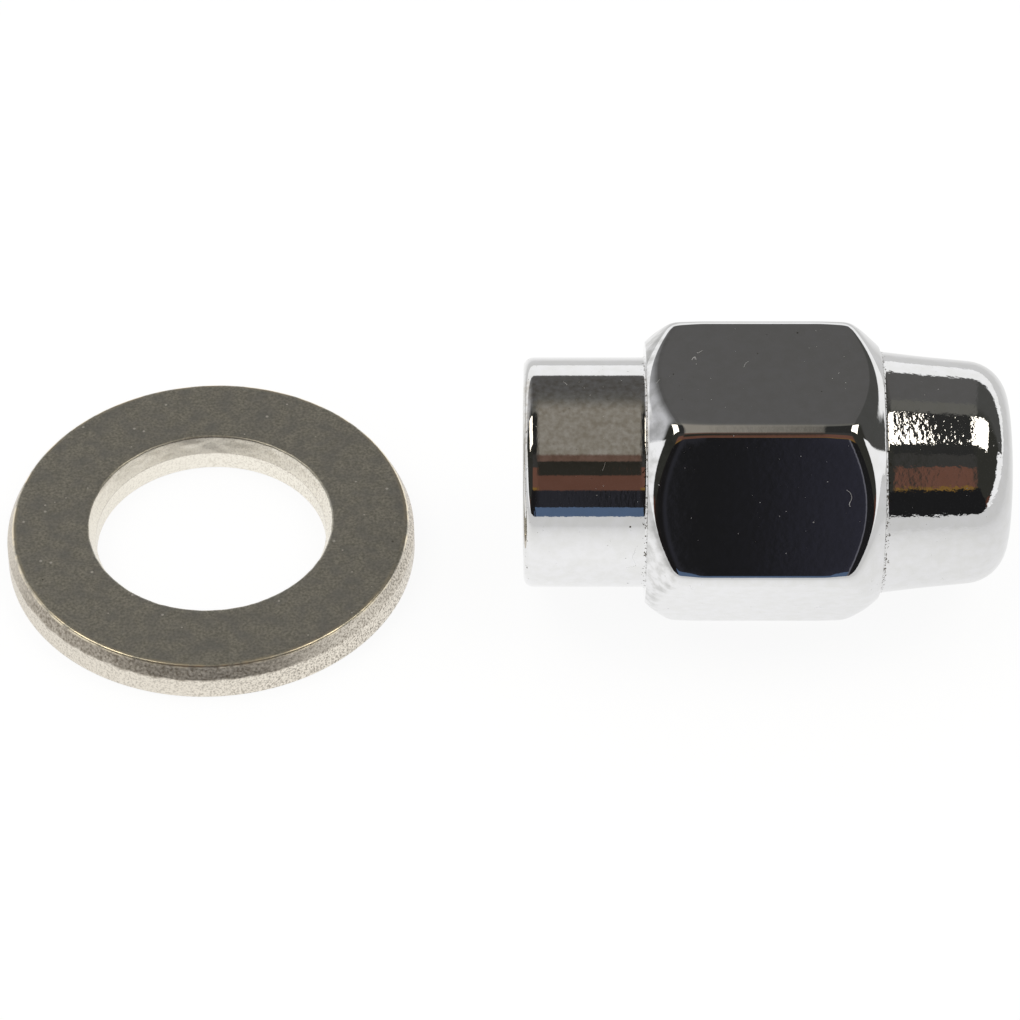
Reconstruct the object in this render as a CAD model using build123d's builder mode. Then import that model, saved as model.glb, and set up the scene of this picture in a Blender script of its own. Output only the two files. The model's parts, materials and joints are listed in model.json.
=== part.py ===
"""Mag lug nut with its washer.

A shank nut for a car wheel: one piece of chromed steel with a plain round shank, a hexagon
for the wheel wrench and a closed dome over the end of the stud, and the loose flat washer
that it clamps the wheel through. The nut lies on one flat of its hexagon, with its open end
towards -X, and the washer lies flat in front of that end. Millimetres, +Z up. The origin is
on the surface that both pieces rest on, under the middle of the pair.
"""

import os
from math import radians, sqrt, tan

from build123d import *

# The hexagon, made for a 13/16 in wrench
across_flats = 20.64
hex_length = 17.7
hex_edge_radius = 1.0  # along the six edges
chamfer_angle = 43.0  # of the turned chamfers, from the nut's axis
seat_face_inset = 0.42  # from the flats in to where the chamfer on the shank's side starts
crown_face_inset = 0.72  # the same on the dome's side
chamfer_edge_radius = 0.4  # where the chamfers meet the flats

# The shank, an 11/16 in pilot for the wheel's hole
shank_diameter = 17.45
shank_length = 9.2
shank_end_chamfer = 0.5

# The closed dome
dome_length = 10.1
dome_ledge = 0.5  # ring of the hexagon's end face left round the dome
dome_taper = 5.5  # from the nut's axis
dome_crown_height = 0.8
dome_nose_radius = 3.2
dome_wall = 2.55  # metal left between the drill's point and the top of the dome

# The blind hole, with its thread drawn plain at the thread's outer diameter
thread_diameter = 12.7  # 1/2 in stud
thread_pitch = 1.27  # 20 threads to the inch
thread_length = 25.0  # from the open end
thread_mouth_chamfer = 0.5
drill_point_angle = 118.0

# The washer, punched from plate and lying with its break-out side up
washer_outer_diameter = 31.5
washer_thickness = 3.05
washer_clearance = 0.16  # all round the shank
washer_rim_land = 1.95  # height of the straight part of the rim
washer_rim_taper = 24.0  # of the break-out above it, from the washer's axis
washer_bore_land = 1.7  # height of the straight part of the bore
washer_bore_taper = 19.5
washer_lower_chamfer = 0.3  # of the two corners that the punch rolls in

# How the pair lies
washer_gap = 8.4  # clear space between the washer's rim and the nut's open end
nut_forward = 1.9  # the nut's axis lies this much nearer to -Y than the washer's centre

# Sizes that follow from those above; places along the nut are from its open end
hex_start = shank_length
hex_end = hex_start + hex_length
nut_length = hex_end + dome_length
hex_corner_radius = across_flats / sqrt(3)
seat_face_radius = across_flats / 2 - seat_face_inset
crown_face_radius = across_flats / 2 - crown_face_inset
dome_base_radius = crown_face_radius - dome_ledge
dome_side_length = dome_length - dome_crown_height
dome_nose_corner_radius = dome_base_radius - dome_side_length * tan(radians(dome_taper))
tap_drill_diameter = thread_diameter - thread_pitch
drill_point_height = tap_drill_diameter / 2 / tan(radians(drill_point_angle / 2))
drill_depth = nut_length - dome_wall - drill_point_height
washer_bore_diameter = shank_diameter + 2 * washer_clearance

# Where the two pieces lie, with the pair's middle at the origin
pair_length = washer_outer_diameter + washer_gap + nut_length
nut_origin = (pair_length / 2 - nut_length, -nut_forward, across_flats / 2)
nut_axis = Axis(nut_origin, (1, 0, 0))
nut_end = Plane(origin=nut_origin, x_dir=(0, 1, 0), z_dir=(1, 0, 0))
nut_section = Plane(origin=nut_origin, x_dir=(1, 0, 0), z_dir=(0, -1, 0))
washer_origin = ((washer_outer_diameter - pair_length) / 2, 0, 0)
washer_axis = Axis(washer_origin, (0, 0, 1))
washer_section = Plane(origin=washer_origin, x_dir=(1, 0, 0), z_dir=(0, -1, 0))


def chamfer_run(face_radius):
    """Length along the axis of a turned chamfer, from the end face out to the hexagon's corners."""
    return (hex_corner_radius - face_radius) / tan(radians(chamfer_angle))


def corner_at(section, point):
    """The corner of a section that lies at a point of its plane."""
    return section.vertices().sort_by_distance(point)[0]


# The nut: a hexagon bar turned down to the shank, the two chamfers and the dome, then drilled
with BuildPart() as lug_nut:
    with BuildSketch(nut_end) as bar:
        RegularPolygon(across_flats / 2, 6, major_radius=False)
        fillet(bar.vertices(), hex_edge_radius)
    extrude(amount=nut_length)

    shank_corner = (0, shank_diameter / 2)
    dome_nose = (hex_end + dome_side_length, dome_nose_corner_radius)
    with BuildSketch(nut_section) as outline:
        with BuildLine():
            Polyline(
                (nut_length, 0),
                (0, 0),
                shank_corner,
                (hex_start, shank_diameter / 2),
                (hex_start, seat_face_radius),
                (hex_start + chamfer_run(seat_face_radius), hex_corner_radius),
                (hex_end - chamfer_run(crown_face_radius), hex_corner_radius),
                (hex_end, crown_face_radius),
                (hex_end, dome_base_radius),
                dome_nose,
            )
            TangentArc((nut_length, 0), dome_nose, tangent=(0, 1))
        make_face()
        chamfer(corner_at(outline, shank_corner), shank_end_chamfer)
        fillet(corner_at(outline, dome_nose), dome_nose_radius)
    revolve(axis=nut_axis, mode=Mode.INTERSECT)

    # The cones of the chamfers cut the flats in hyperbolas and the rounded edges in short curves
    flat_ends = lug_nut.edges().filter_by(GeomType.HYPERBOLA)
    edge_ends = lug_nut.edges().filter_by(GeomType.BSPLINE)
    fillet(flat_ends + edge_ends, chamfer_edge_radius)

    with BuildSketch(nut_section):
        with BuildLine():
            Polyline(
                (0, 0),
                (0, thread_diameter / 2 + thread_mouth_chamfer),
                (thread_mouth_chamfer, thread_diameter / 2),
                (thread_length, thread_diameter / 2),
                (thread_length + thread_pitch / 2, tap_drill_diameter / 2),
                (drill_depth, tap_drill_diameter / 2),
                (drill_depth + drill_point_height, 0),
                close=True,
            )
        make_face()
    revolve(axis=nut_axis, mode=Mode.SUBTRACT)

# The washer: one turn of the section that punching leaves, straight lands below and tapers above
with BuildPart() as washer:
    rim_run = (washer_thickness - washer_rim_land) * tan(radians(washer_rim_taper))
    bore_run = (washer_thickness - washer_bore_land) * tan(radians(washer_bore_taper))
    bore_foot = (washer_bore_diameter / 2, 0)
    rim_foot = (washer_outer_diameter / 2, 0)
    with BuildSketch(washer_section) as ring:
        with BuildLine():
            Polyline(
                bore_foot,
                rim_foot,
                (washer_outer_diameter / 2, washer_rim_land),
                (washer_outer_diameter / 2 - rim_run, washer_thickness),
                (washer_bore_diameter / 2 + bore_run, washer_thickness),
                (washer_bore_diameter / 2, washer_bore_land),
                close=True,
            )
        make_face()
        chamfer(corner_at(ring, bore_foot), washer_lower_chamfer)
        chamfer(corner_at(ring, rim_foot), washer_lower_chamfer)
    revolve(axis=washer_axis)

os.makedirs("parts", exist_ok=True)
lug_nut.part.label = "lug_nut"
export_step(lug_nut.part, "parts/lug_nut.step")
washer.part.label = "washer"
export_step(washer.part, "parts/washer.step")
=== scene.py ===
import json
from math import cos, pi, radians, sin, sqrt, tan

import bpy
from mathutils import Matrix, Vector


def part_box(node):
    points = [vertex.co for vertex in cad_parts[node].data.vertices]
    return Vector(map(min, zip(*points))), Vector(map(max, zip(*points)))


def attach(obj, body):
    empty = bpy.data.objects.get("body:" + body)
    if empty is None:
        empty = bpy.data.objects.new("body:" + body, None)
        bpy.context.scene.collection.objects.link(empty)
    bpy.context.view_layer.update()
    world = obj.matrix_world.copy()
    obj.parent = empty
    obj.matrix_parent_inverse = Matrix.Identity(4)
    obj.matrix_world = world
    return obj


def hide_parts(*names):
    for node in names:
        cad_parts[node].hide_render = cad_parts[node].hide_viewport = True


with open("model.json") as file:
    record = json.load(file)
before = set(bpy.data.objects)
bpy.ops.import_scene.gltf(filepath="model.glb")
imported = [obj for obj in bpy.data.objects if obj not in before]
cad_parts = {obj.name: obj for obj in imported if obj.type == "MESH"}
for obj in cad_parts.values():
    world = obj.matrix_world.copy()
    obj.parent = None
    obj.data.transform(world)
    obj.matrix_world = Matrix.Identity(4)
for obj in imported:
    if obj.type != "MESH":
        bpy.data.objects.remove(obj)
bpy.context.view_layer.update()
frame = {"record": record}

# The lug nut. One piece of steel, cold formed from hexagon bar and turned at both ends, drilled and
# tapped from its open end for the wheel stud, and chrome plated. It lies on one of its six flats.

mm = 0.001
mount_sizes = {mount["name"]: mount["dims"] for mount in frame["record"]["mounts"]}
nut_low, nut_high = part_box("lug_nut")
nut_place = Vector((nut_low.x, (nut_low.y + nut_high.y) / 2, (nut_low.z + nut_high.z) / 2))
nut_length = (nut_high.x - nut_low.x) / mm
across_flats = (nut_high.z - nut_low.z) / mm

shank_length = 9.2
shank_radius = mount_sizes["shank_pilot"]["r_mm"]
shank_end_rounding = 0.8
shank_root_rounding = 0.2
hex_length = 17.7
hex_end = shank_length + hex_length
hex_edge_rounding = 1.25
hex_corner_rounding = 1.7  # of the edges where they run into the chamfers
chamfer_slope = tan(radians(43.0))
buff_start = 2.2  # the turned form is carried this far past the corners, and the buffing starts there
buff_fade = 2.6  # difference in radius over which the buffing comes in
chamfer_blend = 0.9  # over this difference in radius a chamfer and a flat run into each other
chamfer_foot_rounding = 0.12
seat_face_inset = 0.42
seat_face_radius = across_flats / 2 - seat_face_inset
crown_face_inset = 0.72
crown_face_radius = across_flats / 2 - crown_face_inset
dome_ledge = 0.5
dome_base_radius = crown_face_radius - dome_ledge
dome_root_rounding = 0.3
dome_flare = 0.08
dome_flare_length = 3.4
dome_slope = tan(radians(5.5))
dome_nose_rounding = 3.2
crown_rounding = 42.0
crown_turn = radians(7.6)  # the angle of the crown's arc, from the tip to the nose
thread_pitch = 1.27
thread_length = 25.0
thread_radius = mount_sizes["stud_thread"]["r_mm"]
thread_mouth_chamfer = 0.5
thread_mouth_radius = thread_radius + thread_mouth_chamfer
drill_radius = thread_radius - thread_pitch / 2
drill_depth = 31.0
drill_point_angle = 118.0
drill_point_height = drill_radius / tan(radians(drill_point_angle / 2))

# The section of the nut from the tip of the dome, over the outside and down the hole, as it would be
# turned from round bar. Its corners stand clear of the hexagon, which cuts the turned form later.
clear_of_hexagon = across_flats / sqrt(3) + buff_start
crown_flat = crown_rounding * tan(crown_turn / 2)
nose_slopes = tan(crown_turn) * dome_slope
nose_radius = dome_base_radius - (nut_length - hex_end) * dome_slope - crown_flat * nose_slopes
nose_radius = nose_radius / (1 - nose_slopes)
nose_along = nut_length - (nose_radius - crown_flat) * tan(crown_turn)
seat_chamfer_run = (clear_of_hexagon - seat_face_radius) / chamfer_slope
crown_chamfer_run = (clear_of_hexagon - crown_face_radius) / chamfer_slope
thread_row = thread_pitch / 8

# Each corner: place along the axis, radius, rounding, spacing of the rows after it, threaded, broken
nut_section = [
    (nut_length, 0.0, 0.0, 0.4, 0, 0),
    (nut_length, crown_flat, crown_rounding, 0.4, 0, 0),
    (nose_along, nose_radius, dome_nose_rounding, 0.6, 0, 0),
    (hex_end + dome_flare_length, dome_base_radius - dome_flare_length * dome_slope, 90.0, 0.5, 0, 0),
    (hex_end, dome_base_radius + dome_flare, dome_root_rounding, 0.15, 0, 0),
    (hex_end, crown_face_radius, chamfer_foot_rounding, 0.16, 0, 0),
    (hex_end - crown_chamfer_run, clear_of_hexagon, 0.0, 1.5, 0, 0),
    (shank_length + seat_chamfer_run, clear_of_hexagon, 0.0, 0.16, 0, 0),
    (shank_length, seat_face_radius, chamfer_foot_rounding, 0.3, 0, 0),
    (shank_length, shank_radius, shank_root_rounding, 0.6, 0, 0),
    (0.0, shank_radius, shank_end_rounding, 0.4, 0, 0),
    (0.0, thread_mouth_radius, 0.1, thread_row, 1, 0),
    (thread_mouth_radius - drill_radius, drill_radius, 0.1, thread_row, 1, 0),
    (thread_length, drill_radius, 0.0, 1.0, 1, 0),
    (drill_depth, drill_radius, 0.2, 0.5, 0, 0),
    (drill_depth + drill_point_height, 0.0, 0.0, 1.0, 0, 0),
]
corner_marks = ("rounding", "row_spacing", "threaded", "broken")


def add(tree, kind, inputs=(), **settings):
    """Adds a node with its settings. An input is a value, a socket, or a node for its first live output."""
    made = tree.nodes.new(kind)
    for name, value in settings.items():
        setattr(made, name, value)
    for key, value in dict(inputs).items():
        if isinstance(value, bpy.types.Node):
            value = next(socket for socket in value.outputs if socket.enabled)
        if isinstance(value, bpy.types.NodeSocket):
            tree.links.new(value, made.inputs[key])
        else:
            made.inputs[key].default_value = value
    return made


# The tree that turns a section: it rounds the corners, takes the section once round the axis, cuts the
# form to a hexagon with rounded edges, cuts the thread into the marked rows and frays the broken edges.
turning = bpy.data.node_groups.new("turned_piece", "GeometryNodeTree")
for label, kind in {
    "Section": "Geometry",
    "Closed Section": "Bool",
    "Across Flats": "Float",
    "Edge Rounding": "Float",
    "Corner Rounding": "Float",
    "Edge Steps": "Int",
    "Flat Step": "Float",
    "Chamfer Blend": "Float",
    "Thread Pitch": "Float",
    "Thread Depth": "Float",
    "Thread Length": "Float",
    "Fray Depth": "Float",
    "Fray Size": "Float",
    "Material": "Material",
}.items():
    turning.interface.new_socket(label, in_out="INPUT", socket_type="NodeSocket" + kind)
turning.interface.new_socket("Piece", in_out="OUTPUT", socket_type="NodeSocketGeometry")
given = add(turning, "NodeGroupInput").outputs
index = add(turning, "GeometryNodeInputIndex")
position = add(turning, "GeometryNodeInputPosition")
marks = {
    label: add(turning, "GeometryNodeInputNamedAttribute", {"Name": label}, data_type="FLOAT")
    for label in (*corner_marks, "along", "radius_at", "turn", "hexagon")
}

points = add(turning, "GeometryNodeMeshToPoints", {"Mesh": given["Section"]})
line = add(turning, "GeometryNodePointsToCurves", {"Points": points, "Weight": index})
line = add(turning, "GeometryNodeSetSplineCyclic", {"Geometry": line, "Cyclic": given["Closed Section"]})
root = add(turning, "ShaderNodeMath", {0: marks["rounding"]}, operation="SQRT")
steps = add(turning, "ShaderNodeMath", {0: root, 1: 3.0, 2: 4.0}, operation="MULTIPLY_ADD")
rounded = add(
    turning, "GeometryNodeFilletCurve",
    {"Curve": line, "Count": steps, "Radius": marks["rounding"]}, mode="POLY",
)

# Rows: each straight run of the section, and each flat of the hexagon, is cut at its own spacing
rail = add(
    turning, "ShaderNodeMath", {0: given["Across Flats"], 1: 1 / sqrt(3)}, operation="MULTIPLY"
)
rail = add(turning, "GeometryNodeCurvePrimitiveCircle", {"Resolution": 6, "Radius": rail}, mode="RADIUS")
rail = add(
    turning, "GeometryNodeFilletCurve",
    {"Curve": rail, "Count": given["Edge Steps"], "Radius": given["Edge Rounding"]}, mode="POLY",
)
cut_lines = []
for curve, spacing in ((rounded, marks["row_spacing"]), (rail, given["Flat Step"])):
    size = add(turning, "GeometryNodeAttributeDomainSize", {"Geometry": curve}, component="CURVE")
    following = add(turning, "ShaderNodeMath", {0: index, 1: 1.0}, operation="ADD")
    following = add(turning, "ShaderNodeMath", {0: following, 1: size}, operation="MODULO")
    neighbour = add(
        turning, "GeometryNodeFieldAtIndex", {"Value": position, "Index": following},
        data_type="FLOAT_VECTOR",
    )
    run = add(turning, "ShaderNodeVectorMath", {0: neighbour, 1: position}, operation="DISTANCE")
    cuts = add(turning, "ShaderNodeMath", {0: run.outputs["Value"], 1: spacing}, operation="DIVIDE")
    cuts = add(turning, "ShaderNodeMath", {0: cuts}, operation="FLOOR")
    cut_lines.append(add(turning, "GeometryNodeSubdivideCurve", {"Curve": curve, "Cuts": cuts}))
section_line, rail_line = cut_lines

place = add(turning, "ShaderNodeSeparateXYZ", {0: position})
round_angle = add(
    turning, "ShaderNodeMath", {0: place.outputs["Y"], 1: place.outputs["X"]}, operation="ARCTAN2"
)
reach = add(turning, "ShaderNodeVectorMath", {0: position}, operation="LENGTH")
for label, value in (("along", place.outputs["X"]), ("radius_at", place.outputs["Z"])):
    section_line = add(
        turning, "GeometryNodeStoreNamedAttribute",
        {"Geometry": section_line, "Name": label, "Value": value}, data_type="FLOAT", domain="POINT",
    )
for label, value in (("turn", round_angle), ("hexagon", reach.outputs["Value"])):
    rail_line = add(
        turning, "GeometryNodeStoreNamedAttribute",
        {"Geometry": rail_line, "Name": label, "Value": value}, data_type="FLOAT", domain="POINT",
    )
shell = add(turning, "GeometryNodeCurveToMesh", {"Curve": rail_line, "Profile Curve": section_line})

# The hexagon's edges are buffed rounder where the turned form comes down to them: radius of a flat, and
# of the arc with the corner rounding that joins two flats, by angle from the nearest edge
from_edge = add(turning, "ShaderNodeMath", {0: marks["turn"], 1: pi / 6}, operation="PINGPONG")
from_flat = add(turning, "ShaderNodeMath", {0: pi / 6, 1: from_edge}, operation="SUBTRACT")
flat_cosine = add(turning, "ShaderNodeMath", {0: from_flat}, operation="COSINE")
half_flats = add(turning, "ShaderNodeMath", {0: given["Across Flats"], 1: 0.5}, operation="MULTIPLY")
flat_radius = add(turning, "ShaderNodeMath", {0: half_flats, 1: flat_cosine}, operation="DIVIDE")
inset = add(turning, "ShaderNodeMath", {0: half_flats, 1: given["Corner Rounding"]}, operation="SUBTRACT")
arc_centre = add(turning, "ShaderNodeMath", {0: inset, 1: 2 / sqrt(3)}, operation="MULTIPLY")
edge_sine = add(turning, "ShaderNodeMath", {0: from_edge}, operation="SINE")
edge_cosine = add(turning, "ShaderNodeMath", {0: from_edge}, operation="COSINE")
centre_along = add(turning, "ShaderNodeMath", {0: arc_centre, 1: edge_cosine}, operation="MULTIPLY")
centre_off = add(turning, "ShaderNodeMath", {0: arc_centre, 1: edge_sine}, operation="MULTIPLY")
centre_off = add(turning, "ShaderNodeMath", {0: centre_off, 1: 2.0}, operation="POWER")
reach_squared = add(turning, "ShaderNodeMath", {0: given["Corner Rounding"], 1: 2.0}, operation="POWER")
reach_squared = add(turning, "ShaderNodeMath", {0: reach_squared, 1: centre_off}, operation="SUBTRACT")
arc_reach = add(turning, "ShaderNodeMath", {0: reach_squared}, operation="SQRT")
arc_radius = add(turning, "ShaderNodeMath", {0: centre_along, 1: arc_reach}, operation="ADD")
arc_end = add(turning, "ShaderNodeMath", {0: inset, 1: half_flats}, operation="DIVIDE")
arc_end = add(turning, "ShaderNodeMath", {0: arc_end, 1: 1 / sqrt(3)}, operation="MULTIPLY")
arc_end = add(turning, "ShaderNodeMath", {0: arc_end}, operation="ARCTANGENT")
on_arc = add(turning, "ShaderNodeMath", {0: from_flat, 1: arc_end}, operation="GREATER_THAN")
buffed = add(turning, "ShaderNodeMix", {0: on_arc, 2: flat_radius, 3: arc_radius}, data_type="FLOAT")
near_chamfer = add(
    turning, "ShaderNodeMapRange",
    {"Value": marks["radius_at"], "From Min": clear_of_hexagon, "From Max": clear_of_hexagon - buff_fade},
    interpolation_type="SMOOTHSTEP",
)
hexagon = add(
    turning, "ShaderNodeMix", {0: near_chamfer, 2: marks["hexagon"], 3: buffed}, data_type="FLOAT"
)

# Radius of each point: the turned form, cut to the hexagon, then opened by the thread's groove
cut_radius = add(
    turning, "ShaderNodeMath",
    {0: marks["radius_at"], 1: hexagon, 2: given["Chamfer Blend"]}, operation="SMOOTH_MIN",
)
turns = add(turning, "ShaderNodeMath", {0: marks["turn"], 1: 2 * pi}, operation="DIVIDE")
pitches = add(turning, "ShaderNodeMath", {0: marks["along"], 1: given["Thread Pitch"]}, operation="DIVIDE")
phase = add(turning, "ShaderNodeMath", {0: pitches, 1: turns}, operation="SUBTRACT")
phase = add(turning, "ShaderNodeMath", {0: phase, 1: 0.5}, operation="PINGPONG")
groove = add(
    turning, "ShaderNodeMapRange",
    {"Value": phase, "From Min": 0.125, "From Max": 0.415, "To Min": 0.0, "To Max": given["Thread Depth"]},
)
runout = add(turning, "ShaderNodeMath", {0: given["Thread Length"], 1: marks["along"]}, operation="SUBTRACT")
runout = add(turning, "ShaderNodeMapRange", {"Value": runout, "From Max": 2 * thread_pitch})
groove = add(turning, "ShaderNodeMath", {0: groove, 1: runout}, operation="MULTIPLY")
groove = add(turning, "ShaderNodeMath", {0: groove, 1: drill_radius}, operation="ADD")
opened = add(turning, "ShaderNodeMath", {0: groove, 1: cut_radius}, operation="SUBTRACT")
opened = add(turning, "ShaderNodeMath", {0: opened, 1: 0.0}, operation="MAXIMUM")
radius = add(
    turning, "ShaderNodeMath", {0: opened, 1: marks["threaded"], 2: cut_radius}, operation="MULTIPLY_ADD"
)

# Broken edges: a marked corner is frayed into the metal, by an uneven amount round the piece
cosine = add(turning, "ShaderNodeMath", {0: marks["turn"]}, operation="COSINE")
sine = add(turning, "ShaderNodeMath", {0: marks["turn"]}, operation="SINE")
ring_place = add(turning, "ShaderNodeCombineXYZ", {"X": marks["along"], "Y": cosine, "Z": sine})
ring_scale = add(
    turning, "ShaderNodeCombineXYZ", {"X": 1.0, "Y": marks["radius_at"], "Z": marks["radius_at"]}
)
ring_place = add(turning, "ShaderNodeVectorMath", {0: ring_place, 1: ring_scale}, operation="MULTIPLY")
fray_scale = add(turning, "ShaderNodeMath", {0: 1.0, 1: given["Fray Size"]}, operation="DIVIDE")
fray = add(turning, "ShaderNodeTexNoise", {"Vector": ring_place, "Scale": fray_scale, "Detail": 3.0})
fray = add(turning, "ShaderNodeMath", {0: fray, 1: given["Fray Depth"]}, operation="MULTIPLY")
radius = add(
    turning, "ShaderNodeMath", {0: fray, 1: marks["broken"], 2: radius}, operation="MULTIPLY_ADD"
)

across = add(turning, "ShaderNodeMath", {0: radius, 1: cosine}, operation="MULTIPLY")
upward = add(turning, "ShaderNodeMath", {0: radius, 1: sine}, operation="MULTIPLY")
formed = add(turning, "ShaderNodeCombineXYZ", {"X": marks["along"], "Y": across, "Z": upward})
shell = add(turning, "GeometryNodeSetPosition", {"Geometry": shell, "Position": formed})
shell = add(turning, "GeometryNodeMergeByDistance", {"Geometry": shell, "Distance": 0.0005})
shell = add(turning, "GeometryNodeSetShadeSmooth", {"Geometry": shell, "Shade Smooth": True})
shell = add(turning, "GeometryNodeRealizeInstances", {"Geometry": shell})
shell = add(turning, "GeometryNodeSetMaterial", {"Geometry": shell, "Material": given["Material"]})
add(turning, "NodeGroupOutput", {"Piece": shell})


def turned_piece(name, corners, sizes, placing):
    """A piece turned from the corners of its section, as a plain mesh with its place in the mesh."""
    section = bpy.data.meshes.new(name)
    section.from_pydata([(along, 0, radius) for along, radius, *_ in corners], [], [])
    for column, label in enumerate(corner_marks, start=2):
        section.attributes.new(label, "FLOAT", "POINT")
        section.attributes[label].data.foreach_set("value", [corner[column] for corner in corners])
    piece = bpy.data.objects.new(name, section)
    bpy.context.scene.collection.objects.link(piece)
    modifier = piece.modifiers.new("turning", "NODES")
    modifier.node_group = turning
    for socket in turning.interface.items_tree:
        if socket.in_out == "INPUT" and socket.name in sizes:
            modifier[socket.identifier] = sizes[socket.name]
    turned = piece.evaluated_get(bpy.context.evaluated_depsgraph_get())
    mesh = bpy.data.meshes.new_from_object(turned)
    piece.modifiers.remove(modifier)
    piece.data = mesh
    for label in (*marks, "radius"):
        if label in mesh.attributes:
            mesh.attributes.remove(mesh.attributes[label])
    mesh.transform(placing @ Matrix.Scale(mm, 4))
    return piece


def linear(colour):
    """The linear colour of an sRGB hex value."""
    channels = [int(colour[place:place + 2], 16) / 255 for place in (1, 3, 5)]
    return [c / 12.92 if c <= 0.04045 else ((c + 0.055) / 1.055) ** 2.4 for c in channels] + [1.0]


# Bright chrome plate over polished steel: a mirror with orange peel on the dome, turning marks on the shank
# with a painted mottled haze of soft-box light over its upper front, blotches on the chamfer by the seat,
# pits, dirt in the corners, dust and a little lint.
orange_peel_size = 0.45
orange_peel_depth = 0.012
flat_peel_depth = 0.0015
turning_mark_width = 0.22
turning_mark_length = 0.8
turning_mark_depth = 0.003
painted_haze_size = 0.4
painted_haze_height = 6.6  # above the nut's axis, where the painted haze of soft-box light starts
blotch_size = 0.9
pit_spacing = 1.6
pit_size = 0.1
dirt_size = 0.2
dirt_reach = 0.6
dust_spacing = 0.5
dust_size = 0.05
lint_curl = 3.0
lint_patch_size = 3.5

chrome = bpy.data.materials.new("bright_chrome_plate")
chrome.use_nodes = True
plate = chrome.node_tree
plate.nodes.clear()
spot = add(plate, "ShaderNodeTexCoord").outputs["Object"]
spot = add(plate, "ShaderNodeVectorMath", {0: spot, 1: nut_place}, operation="SUBTRACT")
spot = add(plate, "ShaderNodeVectorMath", {0: spot, "Scale": 1 / mm}, operation="SCALE")
parts = add(plate, "ShaderNodeSeparateXYZ", {0: spot}).outputs
along = parts["X"]
from_axis = add(plate, "ShaderNodeVectorMath", {0: spot, 1: (0, 1, 1)}, operation="MULTIPLY")
from_axis = add(plate, "ShaderNodeVectorMath", {0: from_axis}, operation="LENGTH")

# The chamfer by the seat: where a spot reaches the cone that it was turned to
cone_start = seat_face_radius - shank_length * chamfer_slope
cone = add(plate, "ShaderNodeMath", {0: along, 1: chamfer_slope, 2: cone_start}, operation="MULTIPLY_ADD")
off_cone = add(plate, "ShaderNodeMath", {0: from_axis, 1: cone}, operation="SUBTRACT")
on_chamfer = add(plate, "ShaderNodeMapRange", {"Value": off_cone, "From Min": -0.6, "From Max": -0.15})
past_shank = add(plate, "ShaderNodeMath", {0: along, 1: shank_length}, operation="GREATER_THAN")
on_chamfer = add(plate, "ShaderNodeMath", {0: on_chamfer, 1: past_shank}, operation="MULTIPLY")
on_shank = add(plate, "ShaderNodeMath", {0: 1.0, 1: past_shank}, operation="SUBTRACT")
blotches = add(plate, "ShaderNodeTexNoise", {"Vector": spot, "Scale": 1 / blotch_size, "Detail": 4.0})
faint = add(plate, "ShaderNodeMapRange", {"Value": blotches, "From Min": 0.35, "From Max": 0.65})
strong = add(plate, "ShaderNodeMapRange", {"Value": blotches, "From Min": 0.42, "From Max": 0.68})
strong = add(plate, "ShaderNodeMath", {0: strong, 1: on_chamfer}, operation="MULTIPLY")
tint = add(
    plate, "ShaderNodeMix", {0: faint, 6: linear("#ebebec"), 7: linear("#e6e6e5")}, data_type="RGBA"
)
tint = add(plate, "ShaderNodeMix", {0: strong, 6: tint, 7: linear("#cacac9")}, data_type="RGBA")

# Painted haze: a mottle in the base colour on the upper front of the shank, standing in for soft-box light
# scattered by the turning marks
painted_haze = add(plate, "ShaderNodeTexNoise", {"Vector": spot, "Scale": 1 / painted_haze_size, "Detail": 3.0})
painted_haze = add(plate, "ShaderNodeMapRange", {"Value": painted_haze, "From Min": 0.32, "From Max": 0.68})
painted_haze_place = add(
    plate, "ShaderNodeMapRange",
    {"Value": parts["Z"], "From Min": painted_haze_height - 0.4, "From Max": painted_haze_height + 0.4},
)
painted_haze_front = add(plate, "ShaderNodeMapRange", {"Value": parts["Y"], "From Min": 1.8, "From Max": 1.0})
painted_haze_place = add(plate, "ShaderNodeMath", {0: painted_haze_place, 1: painted_haze_front}, operation="MULTIPLY")
painted_haze_place = add(plate, "ShaderNodeMath", {0: painted_haze_place, 1: on_shank}, operation="MULTIPLY")
painted_haze = add(plate, "ShaderNodeMath", {0: painted_haze, 1: painted_haze_place}, operation="MULTIPLY")
tint = add(plate, "ShaderNodeMix", {0: painted_haze, 6: tint, 7: linear("#c9c5be")}, data_type="RGBA")

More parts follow.
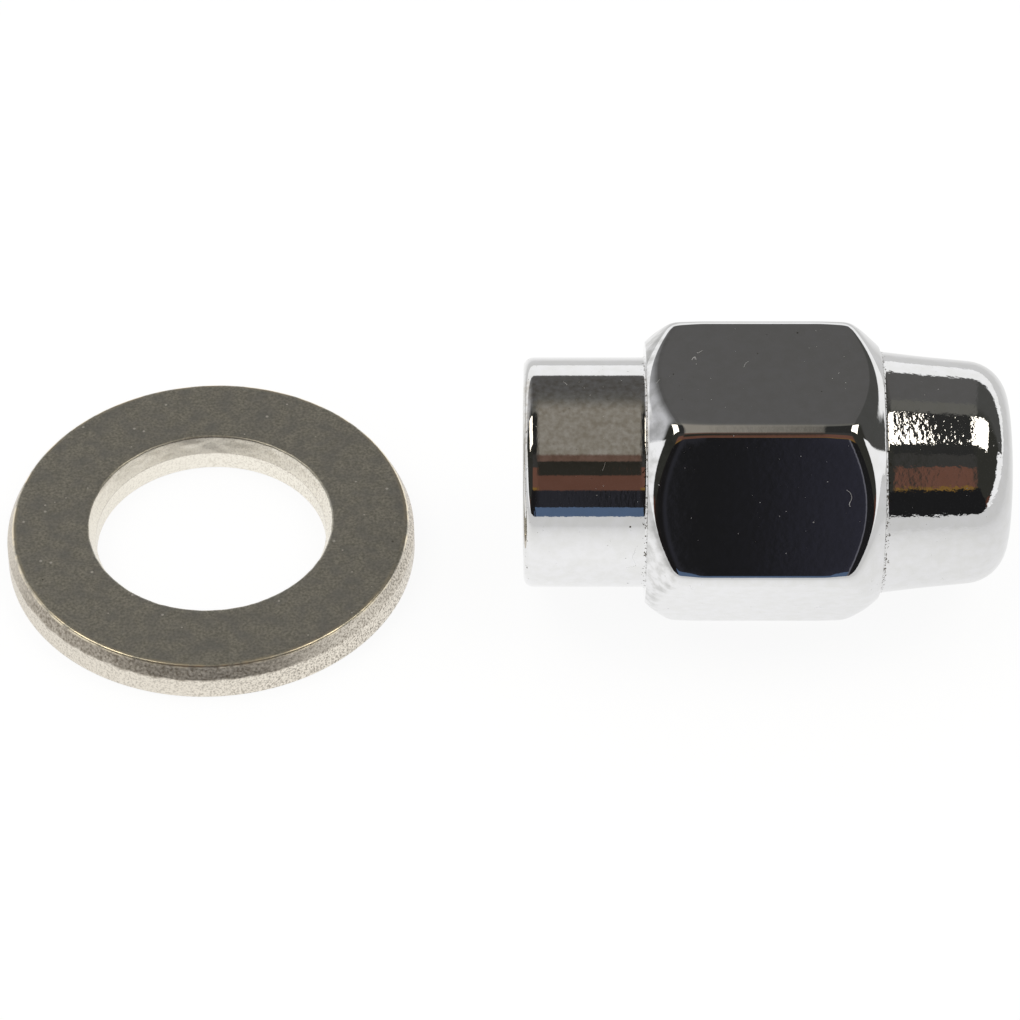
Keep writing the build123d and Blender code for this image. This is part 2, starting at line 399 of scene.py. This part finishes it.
# Pits in the plate, and dirt round the rim, in the corner at the seat and at the root of the dome
cells = add(plate, "ShaderNodeTexVoronoi", {"Vector": spot, "Scale": 1 / pit_spacing}).outputs
chosen = add(plate, "ShaderNodeSeparateColor", {0: cells["Color"]})
pit_reach = add(
    plate, "ShaderNodeMapRange",
    {"Value": chosen, "From Min": 0.55, "From Max": 1.0, "To Max": pit_size / pit_spacing},
)
marred = add(plate, "ShaderNodeMath", {0: cells["Distance"], 1: pit_reach}, operation="LESS_THAN")
dirt = add(plate, "ShaderNodeTexNoise", {"Vector": spot, "Scale": 1 / dirt_size, "Detail": 2.0})
section_place = add(plate, "ShaderNodeCombineXYZ", {"X": along, "Y": from_axis})
for corner, thickness in (
    ((0.0, shank_radius, 0), 0.16),
    ((shank_length, shank_radius, 0), 0.1),
    ((hex_end, dome_base_radius, 0), 0.2),
):
    away = add(plate, "ShaderNodeVectorMath", {0: section_place, 1: corner}, operation="DISTANCE")
    near = add(
        plate, "ShaderNodeMapRange",
        {"Value": away, "From Min": dirt_reach, "From Max": 0.0, "To Min": -0.12, "To Max": thickness},
    )
    caught = add(plate, "ShaderNodeMath", {0: dirt, 1: near}, operation="ADD")
    caught = add(plate, "ShaderNodeMath", {0: caught, 1: 0.66}, operation="GREATER_THAN")
    marred = add(plate, "ShaderNodeMath", {0: marred, 1: caught}, operation="MAXIMUM")
tint = add(plate, "ShaderNodeMix", {0: marred, 6: tint, 7: linear("#6b665f")}, data_type="RGBA")

# The hole is tapped before plating, and little plate reaches into it
in_hole = add(plate, "ShaderNodeMath", {0: from_axis, 1: thread_mouth_radius}, operation="LESS_THAN")
short_of_end = add(
    plate, "ShaderNodeMath", {0: along, 1: drill_depth + drill_point_height}, operation="LESS_THAN"
)
in_hole = add(plate, "ShaderNodeMath", {0: in_hole, 1: short_of_end}, operation="MULTIPLY")
tint = add(plate, "ShaderNodeMix", {0: in_hole, 6: tint, 7: linear("#9b9a96")}, data_type="RGBA")

# Dust and lint: specks and short curled lines that are dull, so they show pale where the mirror is dark
grains = add(plate, "ShaderNodeTexVoronoi", {"Vector": spot, "Scale": 1 / dust_spacing}).outputs
chosen = add(plate, "ShaderNodeSeparateColor", {0: grains["Color"]})
dust_reach = add(
    plate, "ShaderNodeMapRange",
    {"Value": chosen, "From Min": 0.6, "From Max": 1.0, "To Max": dust_size / dust_spacing},
)
dusty = add(plate, "ShaderNodeMath", {0: grains["Distance"], 1: dust_reach}, operation="LESS_THAN")
curls = add(plate, "ShaderNodeTexNoise", {"Vector": spot, "Scale": 1 / lint_curl, "Detail": 1.0})
lint = add(plate, "ShaderNodeMath", {0: curls, 1: 0.5, 2: 0.003}, operation="COMPARE")
patches = add(plate, "ShaderNodeTexNoise", {"Vector": spot, "Scale": 1 / lint_patch_size, "Detail": 3.0})
patches = add(plate, "ShaderNodeMath", {0: patches, 1: 0.65}, operation="GREATER_THAN")
lint = add(plate, "ShaderNodeMath", {0: lint, 1: patches}, operation="MULTIPLY")
dusty = add(plate, "ShaderNodeMath", {0: dusty, 1: lint}, operation="MAXIMUM")
dull = add(plate, "ShaderNodeMapRange", {"Value": dusty, "To Min": 0.03, "To Max": 0.5})
dull = add(plate, "ShaderNodeMath", {0: marred, 1: 0.25, 2: dull}, operation="MULTIPLY_ADD")
dull = add(plate, "ShaderNodeMath", {0: in_hole, 1: 0.25, 2: dull}, operation="MULTIPLY_ADD")

peel = add(plate, "ShaderNodeTexNoise", {"Vector": spot, "Scale": 1 / orange_peel_size, "Detail": 2.0})
peel_depth = add(
    plate, "ShaderNodeMapRange",
    {"Value": along, "From Min": hex_end - 0.3, "From Max": hex_end + 0.6,
     "To Min": flat_peel_depth, "To Max": orange_peel_depth},
)
relief = add(plate, "ShaderNodeMath", {0: peel, 1: peel_depth}, operation="MULTIPLY")
round_marks = (1 / turning_mark_width, 1 / turning_mark_length, 1 / turning_mark_length)
marks_place = add(plate, "ShaderNodeVectorMath", {0: spot, 1: round_marks}, operation="MULTIPLY")
turning_marks = add(plate, "ShaderNodeTexNoise", {"Vector": marks_place, "Scale": 1.0, "Detail": 2.0})
turning_marks = add(plate, "ShaderNodeMath", {0: turning_marks, 1: on_shank}, operation="MULTIPLY")
relief = add(
    plate, "ShaderNodeMath", {0: turning_marks, 1: turning_mark_depth, 2: relief}, operation="MULTIPLY_ADD"
)
bumps = add(plate, "ShaderNodeBump", {"Height": relief, "Strength": 1.0, "Distance": mm})
shader = add(
    plate, "ShaderNodeBsdfPrincipled",
    {"Base Color": tint, "Metallic": 1.0, "Roughness": dull, "Normal": bumps},
)
add(plate, "ShaderNodeOutputMaterial", {"Surface": shader})

lug_nut = turned_piece(
    "chromed_lug_nut",
    nut_section,
    {
        "Closed Section": False,
        "Across Flats": across_flats,
        "Edge Rounding": hex_edge_rounding,
        "Corner Rounding": hex_corner_rounding,
        "Edge Steps": 10,
        "Flat Step": 0.4,
        "Chamfer Blend": chamfer_blend,
        "Thread Pitch": thread_pitch,
        "Thread Depth": thread_radius - drill_radius,
        "Thread Length": thread_length,
        "Fray Depth": 0.0,
        "Fray Size": 1.0,
        "Material": chrome,
    },
    Matrix.Translation(nut_place),
)
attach(lug_nut, "root")
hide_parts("lug_nut")

# The washer. A ring punched from steel plate: the shear leaves a smooth land on the rim and in the bore,
# and a rough tapered break-out above it. It is left unplated and lies flat, loose beside the nut.

washer_low, washer_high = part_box("washer")
washer_middle = (washer_low + washer_high) / 2
washer_place = Vector((washer_middle.x, washer_middle.y, washer_low.z))
washer_radius = (washer_high.x - washer_low.x) / 2 / mm
washer_thickness = (washer_high.z - washer_low.z) / mm
bore_radius = mount_sizes["washer_bore"]["r_mm"]
rim_land = 1.95
rim_taper = 24.0
rim_run = (washer_thickness - rim_land) * tan(radians(rim_taper))
bore_land = 1.7
bore_taper = 19.5
bore_run = (washer_thickness - bore_land) * tan(radians(bore_taper))
rolled_rounding = 0.3
broken_rounding = 0.2

washer_section = [
    (0.0, bore_radius, rolled_rounding, 0.5, 0, 0),
    (0.0, washer_radius, rolled_rounding, 0.2, 0, 0),
    (rim_land, washer_radius, 0.15, 0.1, 0, -0.3),
    (washer_thickness, washer_radius - rim_run, broken_rounding, 0.4, 0, -0.5),
    (washer_thickness, bore_radius + bore_run, broken_rounding, 0.1, 0, 1),
    (bore_land, bore_radius, 0.15, 0.2, 0, 0.3),
]

# Tumbled plain steel: matt mottled faces with pits and bright nicks, burnished lands with dark flecks, a
# rough grey break-out with painted shade towards the front left, and a painted highlight along the burnished
# upper edge. The grain is drawn at 0.2 mm, coarser than the real one.
face_grain = 0.2
face_mottle = 1.4
fleck_size = 0.16
nick_spacing = 0.8
nick_size = 0.15
face_pit_spacing = 2.4
face_pit_size = 0.22
steel = bpy.data.materials.new("tumbled_plain_steel")
steel.use_nodes = True
metal = steel.node_tree
metal.nodes.clear()
spot = add(metal, "ShaderNodeTexCoord").outputs["Object"]
spot = add(metal, "ShaderNodeVectorMath", {0: spot, 1: washer_place}, operation="SUBTRACT")
spot = add(metal, "ShaderNodeVectorMath", {0: spot, "Scale": 1 / mm}, operation="SCALE")
parts = add(metal, "ShaderNodeSeparateXYZ", {0: spot}).outputs
height = parts["Z"]
from_axis = add(metal, "ShaderNodeVectorMath", {0: spot, 1: (1, 1, 0)}, operation="MULTIPLY")
from_axis = add(metal, "ShaderNodeVectorMath", {0: from_axis}, operation="LENGTH")
grain = add(metal, "ShaderNodeTexNoise", {"Vector": spot, "Scale": 1 / face_grain, "Detail": 3.0})
mottle = add(metal, "ShaderNodeTexNoise", {"Vector": spot, "Scale": 1 / face_mottle, "Detail": 4.0})

# The two faces
face_light = add(metal, "ShaderNodeMapRange", {"Value": grain, "From Min": 0.32, "From Max": 0.68})
face_tint = add(
    metal, "ShaderNodeMix", {0: face_light, 6: linear("#aaa699"), 7: linear("#d8d3c5")}, data_type="RGBA"
)
clouds = add(
    metal, "ShaderNodeMapRange", {"Value": mottle, "From Min": 0.4, "From Max": 0.7, "To Max": 0.65}
)
face_tint = add(metal, "ShaderNodeMix", {0: clouds, 6: face_tint, 7: linear("#a8a6a2")}, data_type="RGBA")
for spacing, size, share, colour in (
    (nick_spacing, nick_size, 0.4, "#fbf7ee"),
    (face_pit_spacing, face_pit_size, 0.5, "#6f6a60"),
):
    cells = add(metal, "ShaderNodeTexVoronoi", {"Vector": spot, "Scale": 1 / spacing}).outputs
    chosen = add(metal, "ShaderNodeSeparateColor", {0: cells["Color"]})
    mark_reach = add(
        metal, "ShaderNodeMapRange",
        {"Value": chosen, "From Min": 1 - share, "From Max": 1.0, "To Max": size / spacing},
    )
    mark = add(metal, "ShaderNodeMath", {0: mark_reach, 1: cells["Distance"]}, operation="SUBTRACT")
    mark = add(metal, "ShaderNodeMapRange", {"Value": mark, "From Max": 0.04})
    face_tint = add(metal, "ShaderNodeMix", {0: mark, 6: face_tint, 7: linear(colour)}, data_type="RGBA")

# The rim: a flecked land, and above it the break-out, with painted shade that darkens it towards the front
# left
worn = add(metal, "ShaderNodeMapRange", {"Value": parts["X"], "From Min": -2.0, "From Max": 12.0})
painted_shade_side = (-0.35 / washer_radius, -0.94 / washer_radius, 0)
painted_shade_front = add(metal, "ShaderNodeVectorMath", {0: spot, 1: painted_shade_side}, operation="DOT_PRODUCT")
painted_shade_front = add(
    metal, "ShaderNodeMapRange", {"Value": painted_shade_front, "From Min": 0.5, "From Max": 0.82, "To Min": 0.25}
)
flecks = add(metal, "ShaderNodeTexNoise", {"Vector": spot, "Scale": 1 / fleck_size, "Detail": 2.0})
flecks = add(metal, "ShaderNodeMapRange", {"Value": flecks, "From Min": 0.43, "From Max": 0.7})
fleck_share = add(metal, "ShaderNodeMapRange", {"Value": worn, "To Min": 0.45, "To Max": 1.0})
flecks = add(metal, "ShaderNodeMath", {0: flecks, 1: fleck_share}, operation="MULTIPLY")
land_tint = add(
    metal, "ShaderNodeMix", {0: flecks, 6: linear("#f3ecdf"), 7: linear("#7f766a")}, data_type="RGBA"
)
uneven = add(metal, "ShaderNodeMapRange", {"Value": mottle, "To Min": -0.5, "To Max": 0.5})
rim_height = add(metal, "ShaderNodeMath", {0: height, 1: uneven}, operation="ADD")
broken = add(
    metal, "ShaderNodeMapRange", {"Value": rim_height, "From Min": rim_land - 0.1, "From Max": rim_land + 0.1}
)
# The break-out's dark tint comes in fully towards the front left and only a quarter elsewhere: painted shade
break_and_shade_share = add(metal, "ShaderNodeMath", {0: broken, 1: painted_shade_front}, operation="MULTIPLY")
break_tint = add(
    metal, "ShaderNodeMix", {0: face_light, 6: linear("#cfc7ba"), 7: linear("#8b8275")}, data_type="RGBA"
)
rim_tint = add(metal, "ShaderNodeMix", {0: break_and_shade_share, 6: land_tint, 7: break_tint}, data_type="RGBA")

# The bore: pale all the way up, with a fine line where its land ends
bore_line = add(metal, "ShaderNodeMath", {0: height, 1: bore_land, 2: 0.05}, operation="COMPARE")
bore_marks = add(metal, "ShaderNodeMath", {0: bore_line, 1: 0.5, 2: flecks}, operation="MULTIPLY_ADD")
bore_marks = add(metal, "ShaderNodeMath", {0: bore_marks, 1: 0.5}, operation="MULTIPLY")
bore_tint = add(
    metal, "ShaderNodeMix", {0: bore_marks, 6: linear("#fbf6ea"), 7: linear("#8a7f70")}, data_type="RGBA"
)
near_rim = add(
    metal, "ShaderNodeMath", {0: from_axis, 1: (bore_radius + washer_radius) / 2}, operation="GREATER_THAN"
)
side_tint = add(metal, "ShaderNodeMix", {0: near_rim, 6: bore_tint, 7: rim_tint}, data_type="RGBA")

on_top = add(metal, "ShaderNodeMath", {0: height, 1: washer_thickness - 0.1}, operation="GREATER_THAN")
on_foot = add(metal, "ShaderNodeMath", {0: height, 1: 0.06}, operation="LESS_THAN")
on_face = add(metal, "ShaderNodeMath", {0: on_top, 1: on_foot}, operation="MAXIMUM")
tint = add(metal, "ShaderNodeMix", {0: on_face, 6: side_tint, 7: face_tint}, data_type="RGBA")

# The upper edge of the rim: a painted cream highlight of the soft boxes in places, where the edge is also
# burnished smoother
edge_radius = washer_radius - rim_run
burnish_and_highlight = add(
    metal, "ShaderNodeMapRange",
    {"Value": from_axis, "From Min": edge_radius - 0.35, "From Max": edge_radius - 0.15},
)
edge_top = add(
    metal, "ShaderNodeMapRange",
    {"Value": height, "From Min": washer_thickness - 0.25, "From Max": washer_thickness - 0.15},
)
burnish_and_highlight = add(metal, "ShaderNodeMath", {0: burnish_and_highlight, 1: edge_top}, operation="MULTIPLY")
burnish_and_highlight_places = add(metal, "ShaderNodeMapRange", {"Value": mottle, "From Min": 0.4, "From Max": 0.55})
burnish_and_highlight = add(metal, "ShaderNodeMath", {0: burnish_and_highlight, 1: burnish_and_highlight_places}, operation="MULTIPLY")
# Painted highlight: these places on the edge are tinted cream as if lit by the soft boxes
tint = add(metal, "ShaderNodeMix", {0: burnish_and_highlight, 6: tint, 7: linear("#f6ead0")}, data_type="RGBA")

dull = add(metal, "ShaderNodeMix", {0: near_rim, 2: 0.38, 3: 0.4}, data_type="FLOAT")
dull = add(metal, "ShaderNodeMix", {0: on_face, 2: dull, 3: 0.4}, data_type="FLOAT")
dull = add(metal, "ShaderNodeMix", {0: burnish_and_highlight, 2: dull, 3: 0.28}, data_type="FLOAT")
grit = add(metal, "ShaderNodeMath", {0: broken, 1: near_rim}, operation="MULTIPLY")
grit = add(metal, "ShaderNodeMix", {0: on_face, 2: grit, 3: 0.3}, data_type="FLOAT")
grit = add(metal, "ShaderNodeMapRange", {"Value": grit, "To Min": 0.15, "To Max": 1.0})
bumps = add(metal, "ShaderNodeBump", {"Height": grain, "Strength": grit, "Distance": 0.02 * mm})
shader = add(
    metal, "ShaderNodeBsdfPrincipled",
    {"Base Color": tint, "Metallic": 1.0, "Roughness": dull, "Normal": bumps},
)
add(metal, "ShaderNodeOutputMaterial", {"Surface": shader})

washer = turned_piece(
    "punched_washer",
    washer_section,
    {
        "Closed Section": True,
        "Across Flats": 100.0,
        "Edge Rounding": 49.9,
        "Corner Rounding": 49.9,
        "Edge Steps": 40,
        "Flat Step": 10.0,
        "Chamfer Blend": chamfer_blend,
        "Thread Pitch": thread_pitch,
        "Thread Depth": 0.0,
        "Thread Length": 0.0,
        "Fray Depth": 0.12,
        "Fray Size": 0.7,
        "Material": steel,
    },
    Matrix.Translation(washer_place) @ Matrix.Rotation(-pi / 2, 4, "Y"),
)
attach(washer, "root")
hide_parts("washer")

# The surface that the pair lies on: a plain white sheet that keeps a soft shadow.

sheet_reach = 4.0
shadow_share = 0.1  # of the sheet's own shading in what the camera and the metal see of it
sheet_mesh = bpy.data.meshes.new("white_sheet")
sheet_mesh.from_pydata(
    [(-sheet_reach, -sheet_reach, 0), (sheet_reach, -sheet_reach, 0),
     (sheet_reach, sheet_reach, 0), (-sheet_reach, sheet_reach, 0)],
    [], [(0, 1, 2, 3)],
)
sheet = bpy.data.objects.new("white_sheet", sheet_mesh)
bpy.context.scene.collection.objects.link(sheet)
white_paper = bpy.data.materials.new("white_paper")
white_paper.use_nodes = True
paper_tree = white_paper.node_tree
paper_tree.nodes.clear()
rays = add(paper_tree, "ShaderNodeLightPath").outputs
mirrored = add(
    paper_tree, "ShaderNodeMath", {0: rays["Is Glossy Ray"], 1: rays["Is Transmission Ray"]},
    operation="ADD", use_clamp=True,
)
seen = add(
    paper_tree, "ShaderNodeMath", {0: rays["Is Camera Ray"], 1: mirrored}, operation="ADD", use_clamp=True
)
seen = add(paper_tree, "ShaderNodeMath", {0: seen, 1: 1 - shadow_share}, operation="MULTIPLY")
shaded = add(paper_tree, "ShaderNodeBsdfDiffuse", {"Color": linear("#f4f4f4")})
# In the metal the sheet dims away from the pair, where the soft boxes light it less
away = add(paper_tree, "ShaderNodeTexCoord").outputs["Object"]
away = add(paper_tree, "ShaderNodeVectorMath", {0: away}, operation="LENGTH")
dimming = add(
    paper_tree, "ShaderNodeMapRange",
    {"Value": away, "From Min": 0.02, "From Max": 0.08, "To Min": 0.0, "To Max": 0.38},
)
dimming = add(paper_tree, "ShaderNodeMath", {0: dimming, 1: mirrored}, operation="MULTIPLY")
glow = add(paper_tree, "ShaderNodeMath", {0: 1.0, 1: dimming}, operation="SUBTRACT")
plain = add(paper_tree, "ShaderNodeEmission", {"Color": linear("#ffffff"), "Strength": glow})
paper = add(paper_tree, "ShaderNodeMixShader", {0: seen, 1: shaded, 2: plain})
add(paper_tree, "ShaderNodeOutputMaterial", {"Surface": paper})
sheet_mesh.materials.append(white_paper)

# The surroundings: white behind the sheet's far edge, a dim room in front and above for the chrome to
# mirror, and one soft box high on each side.

world = bpy.data.worlds.new("dim_room")
bpy.context.scene.world = world
world.use_nodes = True
room = world.node_tree
room.nodes.clear()
direction = add(room, "ShaderNodeTexCoord").outputs["Generated"]
parts = add(room, "ShaderNodeSeparateXYZ", {0: direction}).outputs
frontward = add(room, "ShaderNodeMath", {0: parts["Y"], 1: -1.0}, operation="MULTIPLY")
over = add(room, "ShaderNodeMath", {0: parts["Z"], 1: frontward}, operation="ARCTAN2")
over = add(room, "ShaderNodeMath", {0: over}, operation="DEGREES")
across = add(room, "ShaderNodeMath", {0: parts["X"]}, operation="ARCSINE")
across = add(room, "ShaderNodeMath", {0: across}, operation="DEGREES")
aside = add(room, "ShaderNodeMath", {0: across}, operation="ABSOLUTE")

# Bands of dim colour by angle: over the top from the horizon in front, for what is straight ahead, a
# little aside and far aside, then from side to side for what is low in front
ramps = []
for angle, start, bands in (
    (over, 0, (
        (27, "#614338"), (41, "#614338"), (42, "#2e2c27"), (55, "#2e2c27"), (56, "#69544a"),
        (61, "#69544a"), (63, "#928d84"), (110, "#928d84"), (124, "#686764"), (134, "#5e5d5c"),
        (157, "#5c5b5a"),
    )),
    (over, 0, (
        (26, "#7d6030"), (29, "#7d6030"), (30, "#6a4a3e"), (49, "#6a4a3e"), (50, "#3c3b39"),
        (62, "#3c3b39"), (63, "#2e2e2d"), (105, "#2e2e2d"), (108, "#65645f"), (119, "#65645f"),
        (122, "#5c5b5a"), (157, "#5c5b5a"),
    )),
    (over, 0, ((60, "#33332f"), (105, "#33332f"), (120, "#4c4c4a"), (157, "#4c4c4a"))),
    (across, -90, (
        (-64, "#5a3a2e"), (-43, "#5a3a2e"), (-39, "#26221f"), (-17, "#1c1b1c"), (-7, "#1c1b1c"),
        (-1, "#2b2b30"), (1.2, "#2b2b30"), (2, "#1b1b1c"), (2.6, "#1b1b1c"), (4, "#2d2d36"), (5.7, "#2d2d36"),
        (6.5, "#66666e"), (7.8, "#66666e"), (8.6, "#1e1e1f"), (37, "#1e1e1f"), (41, "#5a3a2e"),
        (58, "#5a3a2e"),
    )),
):
    turn = add(room, "ShaderNodeMath", {0: angle, 1: start}, operation="SUBTRACT")
    turn = add(room, "ShaderNodeMath", {0: turn, 1: 180.0}, operation="DIVIDE")
    ramp = add(room, "ShaderNodeValToRGB", {"Fac": turn})
    for band_angle, colour in bands:
        ramp.color_ramp.elements.new((band_angle - start) / 180).color = linear(colour)
    for spare in (0, -1):
        ramp.color_ramp.elements.remove(ramp.color_ramp.elements[spare])
    ramps.append(ramp)
ahead, little_aside, far_aside, low_in_front = ramps
dim = ahead
for ramp, nearest, farthest in ((little_aside, 2, 5), (far_aside, 17, 21)):
    share = add(room, "ShaderNodeMapRange", {"Value": aside, "From Min": nearest, "From Max": farthest})
    dim = add(room, "ShaderNodeMix", {0: share, 6: dim, 7: ramp}, data_type="RGBA")
leftward = add(room, "ShaderNodeMapRange", {"Value": across, "From Min": -12.0, "From Max": -50.0})
rearward = add(room, "ShaderNodeMapRange", {"Value": over, "From Min": 108.0, "From Max": 124.0})
pale = add(room, "ShaderNodeMath", {0: leftward, 1: rearward}, operation="MULTIPLY")
dim = add(room, "ShaderNodeMix", {0: pale, 6: dim, 7: linear("#c6c6c8")}, data_type="RGBA")
blue_width = add(room, "ShaderNodeMath", {0: aside, 1: 6.0}, operation="LESS_THAN")
blue_height = add(room, "ShaderNodeMath", {0: over, 1: 9.5}, operation="LESS_THAN")
blue = add(room, "ShaderNodeMath", {0: blue_width, 1: blue_height}, operation="MULTIPLY")
low_in_front = add(
    room, "ShaderNodeMix", {0: blue, 6: low_in_front, 7: linear("#536580")}, data_type="RGBA"
)
low_limit = add(
    room, "ShaderNodeMapRange",
    {"Value": aside, "From Min": 25.0, "From Max": 35.0, "To Min": 26.0, "To Max": 12.0},
)
upward = add(room, "ShaderNodeMath", {0: over, 1: low_limit}, operation="SUBTRACT")
upward = add(room, "ShaderNodeMapRange", {"Value": upward, "From Max": 1.5})
dim = add(room, "ShaderNodeMix", {0: upward, 6: low_in_front, 7: dim}, data_type="RGBA")

# White reaches up behind the pair and to both sides in front, and less far to the right behind
above_sheet = add(room, "ShaderNodeVectorMath", {0: direction, 1: (0, -0.235, 1.0)}, operation="DOT_PRODUCT")
behind = add(room, "ShaderNodeMapRange", {"Value": parts["Y"], "From Min": 0.0, "From Max": 0.15})
sideward = add(room, "ShaderNodeMath", {0: parts["X"]}, operation="ABSOLUTE")
front_lift = add(
    room, "ShaderNodeMapRange", {"Value": sideward, "From Min": 0.4, "From Max": 1.0, "To Max": -0.15}
)
back_lift = add(room, "ShaderNodeMapRange", {"Value": parts["X"], "To Max": 0.12})
lift = add(room, "ShaderNodeMix", {0: behind, 2: front_lift, 3: back_lift}, data_type="FLOAT")
above_sheet = add(room, "ShaderNodeMath", {0: above_sheet, 1: lift}, operation="ADD")
above_sheet = add(room, "ShaderNodeMapRange", {"Value": above_sheet, "From Min": 0.14, "From Max": 0.17})
mirrored = add(room, "ShaderNodeMix", {0: above_sheet, 6: linear("#ffffff"), 7: dim}, data_type="RGBA")
rays = add(room, "ShaderNodeLightPath").outputs
in_mirror = add(
    room, "ShaderNodeMath", {0: rays["Is Glossy Ray"], 1: rays["Is Transmission Ray"]},
    operation="ADD", use_clamp=True,
)
soft_light = add(
    room, "ShaderNodeMix", {0: rays["Is Camera Ray"], 6: linear("#f8f8f8"), 7: linear("#ffffff")},
    data_type="RGBA",
)
seen = add(room, "ShaderNodeMix", {0: in_mirror, 6: soft_light, 7: mirrored}, data_type="RGBA")
background = add(room, "ShaderNodeBackground", {"Color": seen, "Strength": 1.0})
add(room, "ShaderNodeOutputWorld", {"Surface": background})

soft_box_distance = 1.0
soft_box_width = 0.48
soft_box_length = 0.53
soft_box_glow = 2.4  # radiance
soft_box_height_angle = radians(89.0)  # from the horizon in front, over the top
for soft_box_lean in (radians(-32.3), radians(32.3)):
    lamp = bpy.data.lights.new("soft_box", "AREA")
    lamp.shape = "RECTANGLE"
    lamp.size = soft_box_width
    lamp.size_y = soft_box_length
    lamp.energy = soft_box_glow * pi * soft_box_width * soft_box_length
    lamp.color = linear("#fff8ea")[:3]
    soft_box = bpy.data.objects.new("soft_box", lamp)
    upright = Vector((0, -cos(soft_box_height_angle), sin(soft_box_height_angle)))
    outward = Vector((sin(soft_box_lean), 0, 0)) + upright * cos(soft_box_lean)
    widthwise = Vector((cos(soft_box_lean), 0, 0)) - upright * sin(soft_box_lean)
    facing = Matrix((widthwise, outward.cross(widthwise), outward)).transposed()
    soft_box.matrix_world = Matrix.Translation(outward * soft_box_distance) @ facing.to_4x4()
    bpy.context.scene.collection.objects.link(soft_box)

# The camera, at the photograph's viewing angle, looking along +Y and down.

picture_width = 1020
focal_pixels = 5000.0
camera_elevation = radians(45.26)
camera_distance = 0.3915
look_at = Vector((0.00045, 0.00428, 0.0))
camera_data = bpy.data.cameras.new("camera")
camera_data.sensor_width = 36.0
camera_data.lens = focal_pixels / picture_width * camera_data.sensor_width
camera_data.clip_start = 0.01
camera = bpy.data.objects.new("camera", camera_data)
backward = Vector((0, -cos(camera_elevation), sin(camera_elevation)))
camera.location = look_at + backward * camera_distance
camera.rotation_euler = (pi / 2 - camera_elevation, 0, 0)
bpy.context.scene.collection.objects.link(camera)
bpy.context.scene.camera = camera
bpy.context.scene.view_settings.view_transform = "Standard"
